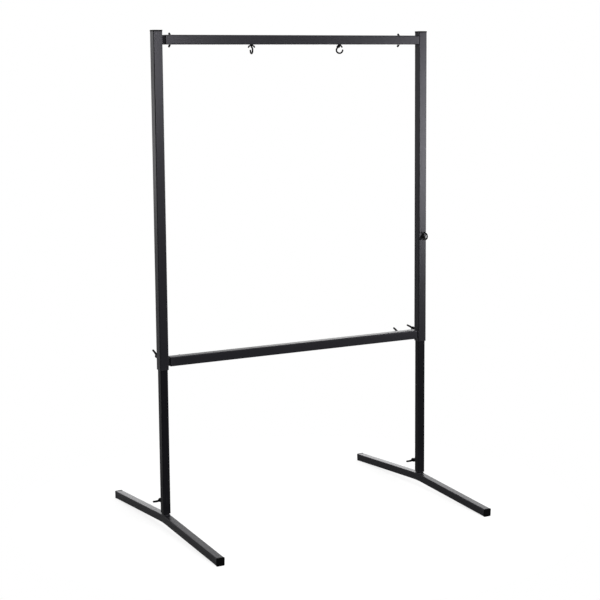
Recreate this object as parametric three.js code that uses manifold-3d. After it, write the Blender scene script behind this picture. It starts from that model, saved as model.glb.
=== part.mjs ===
// A gong stand: a take-apart frame of square steel tube on two bent feet.
// Millimetres. X runs along the frame to the right, Y from front to back and Z up from the floor.
// The origin lies on the floor, midway between the feet.

import * as THREE from 'three';
import { mergeVertices } from 'three/addons/utils/BufferGeometryUtils.js';
import Module from 'manifold-3d';

const wasm = await Module();
wasm.setup();

// Tube stock
const uprightSection = 30;
const legSection = 25;
const spigotSection = 20;
const tubeWall = 2;
const uprightCornerRadius = 3;
const legCornerRadius = 2.5;
const spigotCornerRadius = 2.2;
const boreCornerCut = 1;

// Feet
const footReach = 405;
const footDrop = THREE.MathUtils.degToRad(3.5);
const footBendRadius = 500;
const spigotHeight = 80;

// Plastic plugs of the feet
const solePlugFlange = 4.5;
const solePlugLip = 0.8;
const solePlugDepth = 16;
const soleCut = 0.5;
const plugClearance = 0.2;
const plugWall = 1.6;
const plugEdgeRound = 0.8;

// Legs and uprights
const frameSpacing = 970;
const legGap = 5.5;
const legLength = 600;
const legInside = 132.5;
const uprightLength = 1058.5;
const capFlange = 4.5;
const capLip = 0.7;
const capDepth = 14;

// Bars
const topBarDrop = 25.5;
const lowBarRise = 25;
const barEndGap = 7;
const topBarShift = 4.5;
const stubLength = 92;

// Threaded bosses and wing screws
const bossRadius = 7;
const bossHeight = 6;
const bossNeckRadius = 6;
const bossNeckHeight = 1.5;
const threadRadius = 4;
const threadClearance = 0.15;
const wallHoleRadius = 4.5;
const legClampRise = 32;
const uprightClampRise = 36;
const barClampInset = 40;
const screwTipGap = 0.3;
const screwTipChamfer = 1;
const screwShowing = 16;
const hubLength = 12;
const hubRadius = 6.5;
const hubNeckRadius = 5.6;
const hubRound = 1.8;
const wingReach = 23.5;
const wingThickness = 4.2;
const wingEdgeRound = 0.9;
const wingTipRadius = 3.4;
const wingRise = 8;
const wingRoot = 2;

// Hooks, their inserts and their wing nuts
const hookSpread = 324;
const hookWireRadius = 2.6;
const hookRingRadius = 10.2;
const hookNutGap = 0.3;
const hookRingTurn = THREE.MathUtils.degToRad(268);
const hookShankInside = 13;
const malletHookDrop = 691;
const insertFlangeRadius = 6;
const insertFlange = 0.8;
const insertBulgeRadius = 5.6;
const insertBulge = 3;
const insertLength = 11;
const insertClearance = 0.1;
const nutHeight = 4;
const nutFootRadius = 5.4;
const nutTopRadius = 4.6;
const nutWingReach = 15;
const nutWingThickness = 2.4;
const nutWingEdgeRound = 0.6;
const nutWingTipRadius = 2.6;
const nutWingRise = 5.8;
const nutWingRoot = 0.8;

// How far each clamp screw is turned from wings level, seen from the front
const topScrewTurn = THREE.MathUtils.degToRad(88);
const lowLeftScrewTurn = THREE.MathUtils.degToRad(12);
const lowRightScrewTurn = THREE.MathUtils.degToRad(122);
const leftHeightScrewTurn = THREE.MathUtils.degToRad(117);
const rightHeightScrewTurn = THREE.MathUtils.degToRad(146);
const footScrewTurn = THREE.MathUtils.degToRad(16);

// How far each hook's open side is turned about its shank, and how far its nut's wings are
const leftHookTurn = THREE.MathUtils.degToRad(223);
const rightHookTurn = THREE.MathUtils.degToRad(-28);
const malletHookTurn = THREE.MathUtils.degToRad(90);
const leftNutTurn = THREE.MathUtils.degToRad(-68);
const rightNutTurn = THREE.MathUtils.degToRad(20);
const malletNutTurn = THREE.MathUtils.degToRad(80);

// Where the edges of a wing bend, as shares of its reach
const wingLowerBendShare = 0.55;
const wingUpperBendShare = 0.5;

// Facets and the overrun of every cut
const cornerFacets = 2;
const bendFacets = 8;
const roundFacets = 16;
const wireFacets = 10;
const ringFacets = 20;
const tipFacets = 3;
const cutOverrun = 5;

// Sizes that follow
const uprightBore = uprightSection - 2 * tubeWall;
const legBore = legSection - 2 * tubeWall;
const solePlugHalf = legSection / 2 + solePlugLip;
const footRun = (footReach + solePlugHalf * Math.sin(footDrop)) / Math.cos(footDrop);
const footApex = (footRun - plugEdgeRound) * Math.sin(footDrop) + solePlugHalf * Math.cos(footDrop) - soleCut;
const bendSag = footBendRadius * (1 / Math.cos(footDrop) - 1);
const footTop = footApex - bendSag + legSection / 2;
const legBottom = footTop + legGap;
const uprightBottom = legBottom + legLength - legInside;
const uprightTop = uprightBottom + uprightLength;
const topBarHeight = uprightTop - topBarDrop;
const lowBarHeight = uprightBottom + lowBarRise;
const barLength = frameSpacing - uprightSection - 2 * barEndGap;
const barClampPlace = barLength / 2 - barClampInset;
const slideGrip = (uprightSection - legSection) / 2;
const spigotGrip = (legSection - spigotSection) / 2;
const insertSleeveRadius = wallHoleRadius - insertClearance;
const hookRingDrop = insertFlange + nutHeight + hookNutGap + hookWireRadius + hookRingRadius;

const steel = { colour: 0x2b2b2d, roughness: 0.45, metalness: 0.3 };
const legSteel = { colour: 0x242425, roughness: 0.42, metalness: 0.3 };
const hardware = { colour: 0x141415, roughness: 0.38, metalness: 0.6 };
const plastic = { colour: 0x101011, roughness: 0.6, metalness: 0 };

function coat(look) {
  return new THREE.MeshStandardMaterial({ color: look.colour, roughness: look.roughness, metalness: look.metalness });
}

function toSolid(geometry) {
  const bare = geometry.clone();
  bare.deleteAttribute('normal');
  bare.deleteAttribute('uv');
  const merged = mergeVertices(bare);
  const triVerts = new Uint32Array(merged.index.array);
  const vertProperties = new Float32Array(merged.attributes.position.array);
  return new wasm.Manifold(new wasm.Mesh({ numProp: 3, vertProperties, triVerts }));
}

function toGeometry(solid) {
  const mesh = solid.getMesh();
  const geometry = new THREE.BufferGeometry();
  geometry.setAttribute('position', new THREE.BufferAttribute(mesh.vertProperties, 3));
  geometry.setIndex(new THREE.BufferAttribute(mesh.triVerts, 1));
  return geometry;
}

// Path of straight runs and bends in one plane, sampled only at the stations it is given.
class StationPath extends THREE.Curve {
  constructor(points, tangents) {
    super();
    this.points = points;
    this.tangents = tangents;
  }

  pick(list, t) {
    return list[Math.round(t * (list.length - 1))];
  }

  getPoint(t, target = new THREE.Vector3()) {
    return target.copy(this.pick(this.points, t));
  }

  getPointAt(u, target = new THREE.Vector3()) {
    return this.getPoint(u, target);
  }

  getTangentAt(u, target = new THREE.Vector3()) {
    return target.copy(this.pick(this.tangents, u));
  }

  get steps() {
    return this.points.length - 1;
  }
}

function roundedSquare(target, size, radius) {
  const half = size / 2;
  const flat = half - radius;
  target.moveTo(flat, -half);
  target.absarc(flat, -flat, radius, -Math.PI / 2, 0);
  target.absarc(flat, flat, radius, 0, Math.PI / 2);
  target.absarc(-flat, flat, radius, Math.PI / 2, Math.PI);
  target.absarc(-flat, -flat, radius, Math.PI, 1.5 * Math.PI);
  target.closePath();
  return target;
}

// Square with its corners cut off, as the inside of a tube or the skirt of a plug has.
function cutSquare(target, size) {
  const half = size / 2;
  const flat = half - boreCornerCut;
  target.moveTo(flat, -half);
  for (let quarter = 0; quarter < 4; quarter += 1) {
    const cos = Math.round(Math.cos(quarter * Math.PI / 2));
    const sin = Math.round(Math.sin(quarter * Math.PI / 2));
    target.lineTo(cos * half + sin * flat, sin * half - cos * flat);
    target.lineTo(cos * half - sin * flat, sin * half + cos * flat);
  }
  target.closePath();
  return target;
}

function tubeShape(size, radius) {
  const shape = roundedSquare(new THREE.Shape(), size, radius);
  shape.holes.push(cutSquare(new THREE.Path(), size - 2 * tubeWall));
  return shape;
}

// Square tube that stands on its lower end and runs up along Z.
function straightTube(size, radius, length) {
  return new THREE.ExtrudeGeometry(tubeShape(size, radius),
    { depth: length, bevelEnabled: false, curveSegments: cornerFacets });
}

// Round bar along Z from its foot at zero.
function roundBar(radius, length) {
  const bar = new THREE.CylinderGeometry(radius, radius, length, roundFacets);
  bar.rotateX(Math.PI / 2);
  bar.translate(0, 0, length / 2);
  return bar;
}

// Cuts a round hole through one wall of a tube, from its axis outwards along the given direction.
function drill(geometry, size, radius, place, direction) {
  const cutter = roundBar(radius, size / 2 + cutOverrun);
  cutter.applyQuaternion(new THREE.Quaternion().setFromUnitVectors(new THREE.Vector3(0, 0, 1), direction));
  cutter.translate(place.x, place.y, place.z);
  return toGeometry(toSolid(geometry).subtract(toSolid(cutter)));
}

// Turns a profile of radius and height about Z.
function turned(points, facets = roundFacets) {
  const lathe = new THREE.LatheGeometry(points.map(([r, z]) => new THREE.Vector2(r, z)), facets);
  lathe.rotateX(Math.PI / 2);
  return lathe;
}

const front = new THREE.Vector3(0, -1, 0);
const back = new THREE.Vector3(0, 1, 0);
const down = new THREE.Vector3(0, 0, -1);

// The foot's centre line: a straight run down from each side of a gentle bend at the middle.
function footPath() {
  const points = [];
  const tangents = [];
  const bendCentre = footApex - footBendRadius / Math.cos(footDrop);
  const tubeRun = footRun - solePlugFlange;
  const add = (y, z, angle) => {
    points.push(new THREE.Vector3(0, y, z));
    tangents.push(new THREE.Vector3(0, Math.cos(angle), Math.sin(angle)));
  };
  add(-tubeRun * Math.cos(footDrop), footApex - tubeRun * Math.sin(footDrop), footDrop);
  for (let i = 0; i <= bendFacets; i += 1) {
    const angle = footDrop * (1 - 2 * i / bendFacets);
    add(-footBendRadius * Math.sin(angle), bendCentre + footBendRadius * Math.cos(angle), angle);
  }
  add(tubeRun * Math.cos(footDrop), footApex - tubeRun * Math.sin(footDrop), -footDrop);
  return new StationPath(points, tangents);
}

function footTube() {
  const path = footPath();
  return new THREE.ExtrudeGeometry(tubeShape(legSection, legCornerRadius),
    { steps: path.steps, extrudePath: path, bevelEnabled: false, curveSegments: cornerFacets });
}

// Plug for a square tube end: a flange with a rounded rim and a hollow skirt that fits the bore.
// It lies with the tube's end at zero and the flange on the +Z side.
function squarePlug(flangeSize, flange, bore, depth, cornerRadius) {
  const rim = roundedSquare(new THREE.Shape(), flangeSize - 2 * plugEdgeRound, cornerRadius - plugEdgeRound);
  const head = new THREE.ExtrudeGeometry(rim, {
    depth: flange - 2 * plugEdgeRound, bevelThickness: plugEdgeRound, bevelSize: plugEdgeRound,
    bevelSegments: 1, curveSegments: cornerFacets,
  });
  head.translate(0, 0, plugEdgeRound);
  const skirtSize = bore - 2 * plugClearance;
  const skirtShape = cutSquare(new THREE.Shape(), skirtSize);
  skirtShape.holes.push(cutSquare(new THREE.Path(), skirtSize - 2 * plugWall));
  const skirt = new THREE.ExtrudeGeometry(skirtShape,
    { depth: depth + plugEdgeRound, bevelEnabled: false, curveSegments: cornerFacets });
  skirt.translate(0, 0, -depth);
  return toSolid(head).add(toSolid(skirt));
}

// A foot's plug, cut level underneath where it stands on the floor.
function solePlug(side) {
  const size = 2 * solePlugHalf;
  const tubeRun = footRun - solePlugFlange;
  const plug = toGeometry(squarePlug(size, solePlugFlange, legBore, solePlugDepth,
    legCornerRadius + solePlugLip));
  plug.rotateX(-side * (Math.PI / 2 + footDrop));
  plug.translate(0, side * tubeRun * Math.cos(footDrop), footApex - tubeRun * Math.sin(footDrop));
  const floor = new THREE.BoxGeometry(2 * size, 2 * size, size);
  floor.translate(0, side * footReach, -size / 2);
  return toGeometry(toSolid(plug).subtract(toSolid(floor)));
}

function uprightCap() {
  return toGeometry(squarePlug(uprightSection + 2 * capLip, capFlange, uprightBore, capDepth,
    uprightCornerRadius + capLip));
}

function legTube() {
  const tube = straightTube(legSection, legCornerRadius, legLength);
  return drill(tube, legSection, wallHoleRadius, new THREE.Vector3(0, 0, legClampRise), back);
}

function uprightTube(hasMalletHook) {
  let tube = straightTube(uprightSection, uprightCornerRadius, uprightLength);
  tube = drill(tube, uprightSection, wallHoleRadius, new THREE.Vector3(0, 0, uprightClampRise), back);
  if (hasMalletHook) {
    const place = new THREE.Vector3(0, 0, uprightLength - malletHookDrop);
    tube = drill(tube, uprightSection, wallHoleRadius, place, front);
  }
  return tube;
}

// Bar along X about its own middle, with a clamp hole in its back near each end.
function barTube(hookPlaces) {
  let tube = straightTube(uprightSection, uprightCornerRadius, barLength);
  tube.translate(0, 0, -barLength / 2);
  tube.rotateY(Math.PI / 2);
  for (const side of [-1, 1]) {
    tube = drill(tube, uprightSection, wallHoleRadius, new THREE.Vector3(side * barClampPlace, 0, 0), back);
  }
  for (const place of hookPlaces) {
    tube = drill(tube, uprightSection, wallHoleRadius, new THREE.Vector3(place, 0, 0), down);
  }
  return tube;
}

// Stub welded on an upright's inner face, which lies on the given side of it.
function stub(side) {
  const tube = straightTube(legSection, legCornerRadius, stubLength);
  tube.rotateY(Math.PI / 2);
  tube.translate(side > 0 ? uprightSection / 2 : -uprightSection / 2 - stubLength, 0, 0);
  return tube;
}

// Threaded boss that stands on a tube's face and points along Z.
function boss() {
  const bore = threadRadius + threadClearance;
  return turned([
    [bore, 0],
    [bossRadius, 0],
    [bossRadius, bossHeight - bossNeckHeight],
    [bossNeckRadius, bossHeight],
    [bore, bossHeight],
    [bore, 0],
  ]);
}

// Two wings along X that flare away from the seat, from their root on the hub to a round tip.
function wings(size) {
  const tipX = size.reach - size.tipRadius;
  const tipZ = size.top - size.tipRadius;
  const outline = new THREE.Shape();
  outline.moveTo(0, size.rootLow);
  outline.quadraticCurveTo(size.reach * wingLowerBendShare, size.rootLow,
    tipX + size.tipRadius * Math.SQRT1_2, tipZ - size.tipRadius * Math.SQRT1_2);
  outline.absarc(tipX, tipZ, size.tipRadius, -Math.PI / 4, 0.75 * Math.PI);
  outline.quadraticCurveTo(size.reach * wingUpperBendShare, size.rootHigh, 0, size.rootHigh);
  outline.closePath();
  const wing = new THREE.ExtrudeGeometry(outline, {
    depth: size.thickness - 2 * size.edgeRound, bevelThickness: size.edgeRound, bevelSize: size.edgeRound,
    bevelOffset: -size.edgeRound, bevelSegments: 1, curveSegments: tipFacets,
  });
  wing.translate(0, 0, size.edgeRound - size.thickness / 2);
  wing.rotateX(Math.PI / 2);
  const other = wing.clone();
  other.rotateZ(Math.PI);
  return toSolid(wing).add(toSolid(other));
}

// Wing screw along Z. Zero is the face that its boss stands on, and the tip stops short of the inner tube.
function wingScrew(grip) {
  const tip = screwTipGap - grip;
  const hubFoot = bossHeight + screwShowing;
  const hubTop = hubFoot + hubLength;
  const body = turned([
    [0, tip],
    [threadRadius - screwTipChamfer, tip],
    [threadRadius, tip + screwTipChamfer],
    [threadRadius, hubFoot],
    [hubNeckRadius, hubFoot],
    [hubRadius, hubFoot + hubRound],
    [hubRadius, hubTop - hubRound],
    [hubRadius - hubRound * (1 - Math.SQRT1_2), hubTop - hubRound * (1 - Math.SQRT1_2)],
    [hubRadius - hubRound, hubTop],
    [0, hubTop],
  ]);
  const pair = wings({
    reach: wingReach, thickness: wingThickness, edgeRound: wingEdgeRound, tipRadius: wingTipRadius,
    rootLow: hubFoot + wingRoot, rootHigh: hubTop - wingRoot, top: hubTop + wingRise,
  });
  return toGeometry(toSolid(body).add(pair));
}

// Rivet nut along Z. Zero is the tube's outer face, with the flange outside and the sleeve inside.
function hookInsert() {
  const bore = hookWireRadius + insertClearance;
  return turned([
    [bore, -insertFlange],
    [insertFlangeRadius, -insertFlange],
    [insertFlangeRadius, 0],
    [insertSleeveRadius, 0],
    [insertSleeveRadius, tubeWall],
    [insertBulgeRadius, tubeWall],
    [insertBulgeRadius, tubeWall + insertBulge],
    [insertSleeveRadius, tubeWall + insertBulge],
    [insertSleeveRadius, insertLength],
    [bore, insertLength],
    [bore, -insertFlange],
  ]);
}

// Wing nut on the hook's shank, seated on the insert's flange, with its wings towards the ring.
function hookNut() {
  const seat = insertFlange;
  const hub = turned([
    [0, seat],
    [nutFootRadius, seat],
    [nutTopRadius, seat + nutHeight],
    [0, seat + nutHeight],
  ]);
  const pair = wings({
    reach: nutWingReach, thickness: nutWingThickness, edgeRound: nutWingEdgeRound,
    tipRadius: nutWingTipRadius, rootLow: seat + nutWingRoot, rootHigh: seat + nutHeight,
    top: seat + nutHeight + nutWingRise,
  });
  const bore = roundBar(hookWireRadius + insertClearance, 2 * cutOverrun + nutHeight);
  bore.translate(0, 0, seat - cutOverrun);
  const nut = toGeometry(toSolid(hub).add(pair).subtract(toSolid(bore)));
  nut.rotateX(Math.PI);
  return nut;
}

// Open ring hook under its shank. The ring lies in the XZ plane and is open towards +X, near the shank.
function ringHook() {
  const points = [];
  const tangents = [];
  for (let i = 0; i <= ringFacets; i += 1) {
    const angle = Math.PI / 2 + hookRingTurn * i / ringFacets;
    points.push(new THREE.Vector3(hookRingRadius * Math.cos(angle), 0,
      hookRingRadius * Math.sin(angle) - hookRingDrop));
    tangents.push(new THREE.Vector3(-Math.sin(angle), 0, Math.cos(angle)));
  }
  const path = new StationPath(points, tangents);
  const wire = new THREE.Shape().absarc(0, 0, hookWireRadius, 0, 2 * Math.PI);
  const ring = new THREE.ExtrudeGeometry(wire,
    { steps: path.steps, extrudePath: path, bevelEnabled: false, curveSegments: wireFacets / 2 });
  let hook = toSolid(ring);
  for (const end of [points[0], points[ringFacets]]) {
    const ball = new THREE.SphereGeometry(hookWireRadius, wireFacets, wireFacets / 2);
    ball.translate(end.x, end.y, end.z);
    hook = hook.add(toSolid(ball));
  }
  const shank = roundBar(hookWireRadius, hookShankInside - points[0].z);
  shank.translate(0, 0, points[0].z);
  return toGeometry(hook.add(toSolid(shank)));
}

function part(name, geometry, look) {
  const mesh = new THREE.Mesh(geometry, coat(look));
  mesh.name = name;
  return mesh;
}

// Turns a piece whose axis is Z so that it points to the back, and then about that axis, as seen from the front.
function faceBack(mesh, turn) {
  mesh.rotation.set(-Math.PI / 2, 0, -turn);
  return mesh;
}

// Boss on a tube's back face with its wing screw. The group lies on the tube's centre line.
function clamp(bossName, screwName, section, grip, turn) {
  const group = new THREE.Group();
  const weldedBoss = faceBack(part(bossName, boss(), steel), 0);
  const screw = faceBack(part(screwName, wingScrew(grip), hardware), turn);
  weldedBoss.position.y = section / 2;
  screw.position.y = section / 2;
  group.add(weldedBoss, screw);
  return group;
}

function foot(name) {
  const group = new THREE.Group();
  const spigot = part(`${name}_foot_spigot`,
    straightTube(spigotSection, spigotCornerRadius, spigotHeight), steel);
  spigot.position.z = footTop;
  group.add(
    part(`${name}_foot_tube`, footTube(), steel),
    spigot,
    part(`${name}_foot_front_plug`, solePlug(-1), plastic),
    part(`${name}_foot_back_plug`, solePlug(1), plastic),
  );
  return group;
}

function leg(name) {
  const group = new THREE.Group();
  const footClamp = clamp(`${name}_leg_boss`, `${name}_foot_screw`, legSection, spigotGrip, footScrewTurn);
  footClamp.position.z = legClampRise;
  group.add(part(`${name}_leg_tube`, legTube(), legSteel), footClamp);
  group.position.z = legBottom;
  return group;
}

// Upright with its cap, its two stubs on the inner side and its height clamp.
function upright(name, innerSide, heightScrewTurn, hasMalletHook) {
  const group = new THREE.Group();
  const cap = part(`${name}_upright_cap`, uprightCap(), plastic);
  const topStub = part(`${name}_top_stub`, stub(innerSide), steel);
  const lowStub = part(`${name}_low_stub`, stub(innerSide), steel);
  const heightClamp = clamp(`${name}_upright_boss`, `${name}_height_screw`, uprightSection, slideGrip,
    heightScrewTurn);
  cap.position.z = uprightLength;
  topStub.position.z = uprightLength - topBarDrop;
  lowStub.position.z = lowBarRise;
  heightClamp.position.z = uprightClampRise;
  group.add(part(`${name}_upright_tube`, uprightTube(hasMalletHook), steel), cap, topStub, lowStub, heightClamp);
  group.position.z = uprightBottom;
  return group;
}

// Hook with its insert and wing nut, along Z with the tube above. Zero is the tube's outer face.
function hookSet(insertName, hookName, nutName, place, nutTurn, hookTurn) {
  const insert = place(part(insertName, hookInsert(), hardware), 0);
  const nut = place(part(nutName, hookNut(), hardware), nutTurn);
  const hook = place(part(hookName, ringHook(), hardware), hookTurn);
  return new THREE.Group().add(insert, nut, hook);
}

function turnAboutZ(mesh, turn) {
  mesh.rotation.z = turn;
  return mesh;
}

function barClamps(name, leftTurn, rightTurn) {
  const left = clamp(`${name}_left_boss`, `${name}_left_screw`, uprightSection, slideGrip, leftTurn);
  const right = clamp(`${name}_right_boss`, `${name}_right_screw`, uprightSection, slideGrip, rightTurn);
  left.position.x = -barClampPlace;
  right.position.x = barClampPlace;
  return new THREE.Group().add(left, right);
}

function topBar() {
  const group = new THREE.Group();
  const hookPlace = hookSpread / 2;
  const leftHook = hookSet('left_hook_insert', 'left_hook', 'left_hook_nut', turnAboutZ,
    leftNutTurn, leftHookTurn);
  const rightHook = hookSet('right_hook_insert', 'right_hook', 'right_hook_nut', turnAboutZ,
    rightNutTurn, rightHookTurn);
  leftHook.position.set(-hookPlace, 0, -uprightSection / 2);
  rightHook.position.set(hookPlace, 0, -uprightSection / 2);
  group.add(part('top_bar_tube', barTube([-hookPlace, hookPlace]), steel),
    barClamps('top_bar', topScrewTurn, topScrewTurn), leftHook, rightHook);
  group.position.set(topBarShift, 0, topBarHeight);
  return group;
}

function lowBar() {
  const group = new THREE.Group();
  group.add(part('low_bar_tube', barTube([]), steel),
    barClamps('low_bar', lowLeftScrewTurn, lowRightScrewTurn));
  group.position.z = lowBarHeight;
  return group;
}

function leftSide() {
  const group = new THREE.Group();
  group.add(foot('left'), leg('left'), upright('left', 1, leftHeightScrewTurn, false));
  group.position.x = -frameSpacing / 2;
  return group;
}

function rightSide() {
  const group = new THREE.Group();
  const malletHook = hookSet('mallet_hook_insert', 'mallet_hook', 'mallet_hook_nut', faceBack,
    malletNutTurn, malletHookTurn);
  malletHook.position.set(0, -uprightSection / 2, uprightTop - malletHookDrop);
  group.add(foot('right'), leg('right'), upright('right', -1, rightHeightScrewTurn, true), malletHook);
  group.position.x = frameSpacing / 2;
  return group;
}

const stand = new THREE.Group();
stand.add(leftSide(), rightSide(), topBar(), lowBar());
stand.updateMatrixWorld(true);

export default stand;
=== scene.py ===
"""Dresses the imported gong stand: square tube, welds, wing screws, hooks and plugs, on a pale floor."""

import math
import random

import bmesh
import bpy
import numpy as np
from bpy.props import FloatProperty, FloatVectorProperty, IntProperty, PointerProperty
from bpy.types import Operator, Panel, PropertyGroup
from mathutils import Matrix, Vector


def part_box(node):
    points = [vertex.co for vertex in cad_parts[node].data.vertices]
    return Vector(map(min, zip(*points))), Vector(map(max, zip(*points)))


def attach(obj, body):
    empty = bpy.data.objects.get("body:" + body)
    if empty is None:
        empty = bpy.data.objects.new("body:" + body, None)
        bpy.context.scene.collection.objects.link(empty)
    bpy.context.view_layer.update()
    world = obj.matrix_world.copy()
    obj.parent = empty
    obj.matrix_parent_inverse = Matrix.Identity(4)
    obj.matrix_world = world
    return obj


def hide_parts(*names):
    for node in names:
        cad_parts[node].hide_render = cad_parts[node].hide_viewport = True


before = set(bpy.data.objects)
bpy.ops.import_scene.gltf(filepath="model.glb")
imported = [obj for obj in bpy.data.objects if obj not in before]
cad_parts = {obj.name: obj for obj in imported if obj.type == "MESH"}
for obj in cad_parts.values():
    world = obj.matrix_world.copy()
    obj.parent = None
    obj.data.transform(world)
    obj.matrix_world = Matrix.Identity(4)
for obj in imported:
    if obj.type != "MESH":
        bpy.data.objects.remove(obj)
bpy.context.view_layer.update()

bl_info = {
    "name": "Gong Stand",
    "version": (1, 0, 0),
    "blender": (4, 5, 0),
    "location": "View3D > Sidebar > Gong Stand",
    "description": "Builds a take-apart gong stand of square tube, with its clamps, hooks and studio",
    "category": "Add Mesh",
}

SIDES = ("left", "right")
EDGE = "edge"
RIGHT = Vector((1, 0, 0))
BACK = Vector((0, 1, 0))
UP = Vector((0, 0, 1))
MM = 0.001
TINY = 0.0001 * MM

# Clamps: the nodes of boss and screw, the bodies that carry them, and the screw's turn in degrees.
CLAMPS = (
    ("left_leg_boss", "left_foot_screw", "left_leg", "left_foot_clamp", -16),
    ("left_upright_boss", "left_height_screw", "left_upright", "left_height_clamp", -117),
    ("top_bar_left_boss", "top_bar_left_screw", "top_bar", "top_left_clamp", -88),
    ("top_bar_right_boss", "top_bar_right_screw", "top_bar", "top_right_clamp", -88),
    ("low_bar_left_boss", "low_bar_left_screw", "low_bar", "low_left_clamp", -12),
    ("low_bar_right_boss", "low_bar_right_screw", "low_bar", "low_right_clamp", -122),
    ("right_upright_boss", "right_height_screw", "right_upright", "right_height_clamp", -146),
    ("right_leg_boss", "right_foot_screw", "right_leg", "right_foot_clamp", -16),
)

# Hooks: name, the body that carries the insert, the bodies of hook and nut, and their turns in degrees.
HOOKS = (
    ("left_hook", "top_bar", "left_gong_hook", "left_gong_hook_nut", 223, -68),
    ("right_hook", "top_bar", "right_gong_hook", "right_gong_hook_nut", -28, 20),
    ("mallet_hook", "right_upright", "side_hook", "side_hook_nut", -90, -80),
)

# Gaps on each side of a tube and of a plug in its bore, and under a screw's tip.
TUBE_PLAY, PLUG_PLAY, TIP_GAP = 0.5 * MM, 0.2 * MM, 0.3 * MM

# Least corner radius of a tube's bore and of a plug.
BORE_CORNER, PLUG_CORNER = 0.6 * MM, 0.5 * MM

# Rings on each half of a foot's bend.
BEND_STEPS = 12

# Length of a sole's skirt, and where its face gives way to its round rim, as a share of its half size.
SOLE_SKIRT, SOLE_FACE = 16 * MM, 0.93

# How far a rivet nut lies outside the wall, where its wing nut starts.
RIVET_FLANGE = 0.8 * MM

# How worn the coat is, from 0 to 1: at a cut end, behind it, round a hole, on round corners and on flats.
RIM_WEAR, FADE_WEAR, HOLE_WEAR, CORNER_WEAR, FLAT_WEAR = 1.0, 0.35, 0.5, 0.18, 0.05

# How far behind a cut end the coat is a little worn and no longer worn, and the share that the bore shows.
FADE_START, FADE_END, BORE_WEAR = 3 * MM, 14 * MM, 0.5

# Step between the points of a weld bead, and how many steps go round each corner of its tube.
WELD_STEP, WELD_CORNER_STEPS = 0.3 * MM, 12

# Shape of a bead in shares of its radius: its base, what ripples and swellings add, and its middle's lift.
BEAD_BASE, BEAD_RIPPLE, BEAD_SWELL, BEAD_LIFT = 0.9, 0.07, 0.08, 0.1

# Where a ripple peaks and how far it strays, as shares of its length, and the ripples in one swelling.
RIPPLE_PEAK, RIPPLE_STRAY, SWELL_RIPPLES = 0.85, 0.18, 6

# Sockets of a Mix node in its colour mode.
MIX_MASK, MIX_UNDER, MIX_OVER, MIX_RESULT = 0, 6, 7, 2

# Floor disc: its middle's share of the radius, its depth under the soles, and its sides.
FLOOR_CENTRE, FLOOR_GAP, FLOOR_FACETS = 0.4, 0.1 * MM, 96

# Heading in which the room is brightest in reflections.
BRIGHT_SIDE = (0.6, 0.8, 0.0)

# Area lamps: name, place, aim, width, height and watts.
LAMPS = (
    ("Overhead softbox", (-0.6, -1.2, 3.4), (0.0, 0.0, 0.9), 2.4, 2.4, 34.0),
    ("Left front panel", (-0.05, -2.2, 1.6), (-0.45, 0.0, 1.3), 0.6, 0.6, 17.0),
    ("Right front panel", (2.25, -2.0, 1.5), (0.5, 0.0, 1.3), 0.6, 0.6, 9.5),
    ("Right low panel", (2.25, -2.0, 0.95), (0.5, 0.0, 1.0), 0.6, 0.6, 22.0),
    ("Back left panel", (-1.7, 2.0, 1.9), (-0.4, 0.0, 1.4), 0.9, 0.7, 3.4),
    ("Back left low panel", (-1.7, 2.0, 1.1), (-0.4, 0.0, 1.0), 0.9, 0.6, 2.4),
    ("Back low sweep", (1.2, 2.3, 0.42), (0.0, 0.0, 0.3), 2.6, 0.5, 6.5),
    ("Back right sweep", (2.0, 2.2, 1.0), (0.3, 0.0, 0.6), 1.8, 0.6, 4.5),
)


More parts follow.
